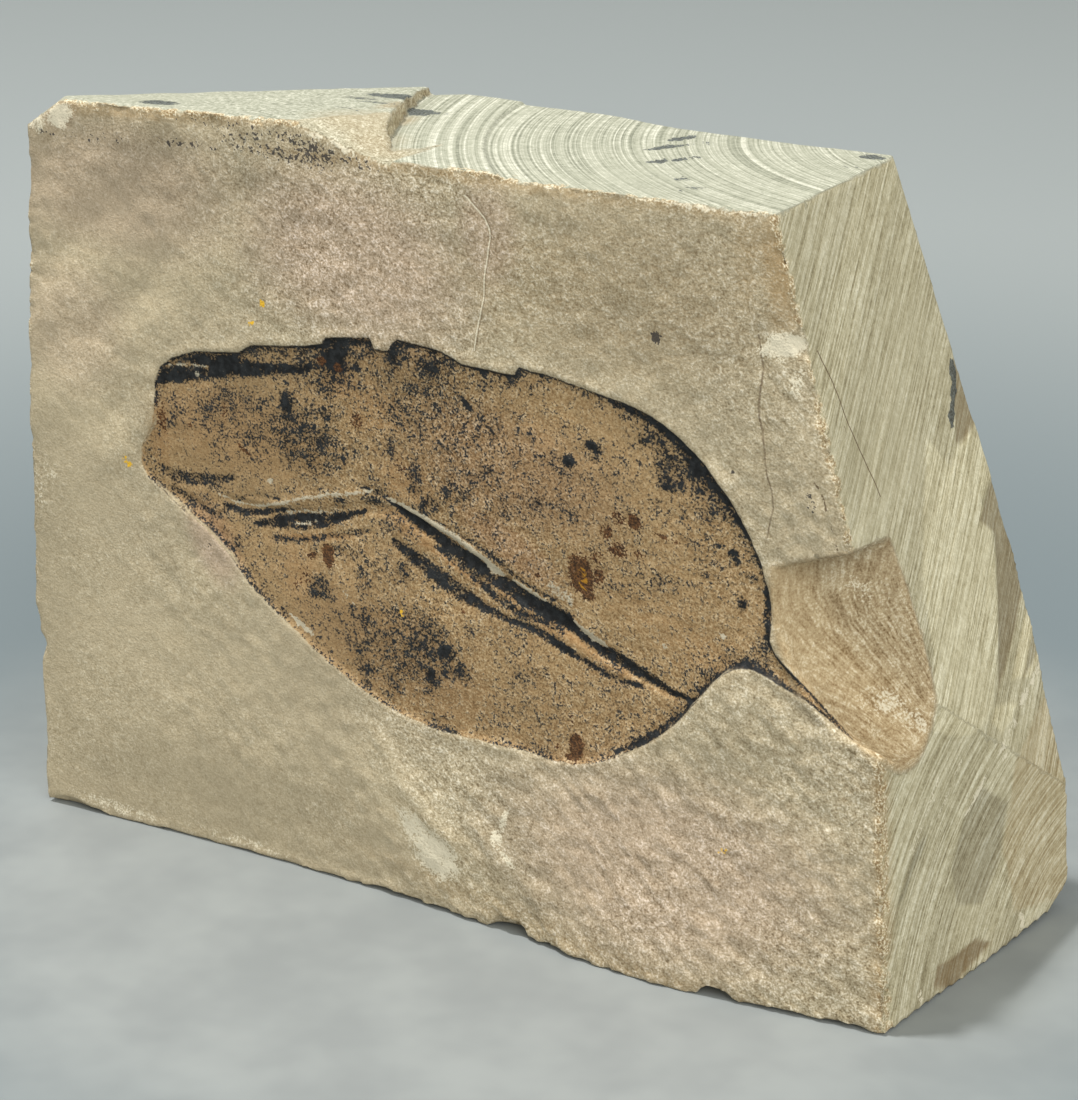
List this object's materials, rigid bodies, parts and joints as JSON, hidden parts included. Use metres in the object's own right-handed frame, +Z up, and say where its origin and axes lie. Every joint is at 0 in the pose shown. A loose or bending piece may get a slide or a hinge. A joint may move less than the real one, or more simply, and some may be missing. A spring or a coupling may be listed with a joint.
{
  "type": "fossil leaf plate",
  "caption": "Upright block of fine siltstone with a sawn base, ground end and cut top; its split front carries a pressed leaf with midrib and stalk.",
  "frame": {"origin": "middle of the block's box on the sawn base", "axes": "+X along the leaf's face to the ground right end, +Y into the stone away from the leaf, +Z up"},
  "size_m": [0.1264, 0.0478, 0.095],
  "materials": {
    "siltstone": "dull split and sawn stone, with a thin dark film where the leaf lies"
  },
  "bodies": {
    "root": {"fossil_slab": "siltstone"}
  },
  "joints": []
}
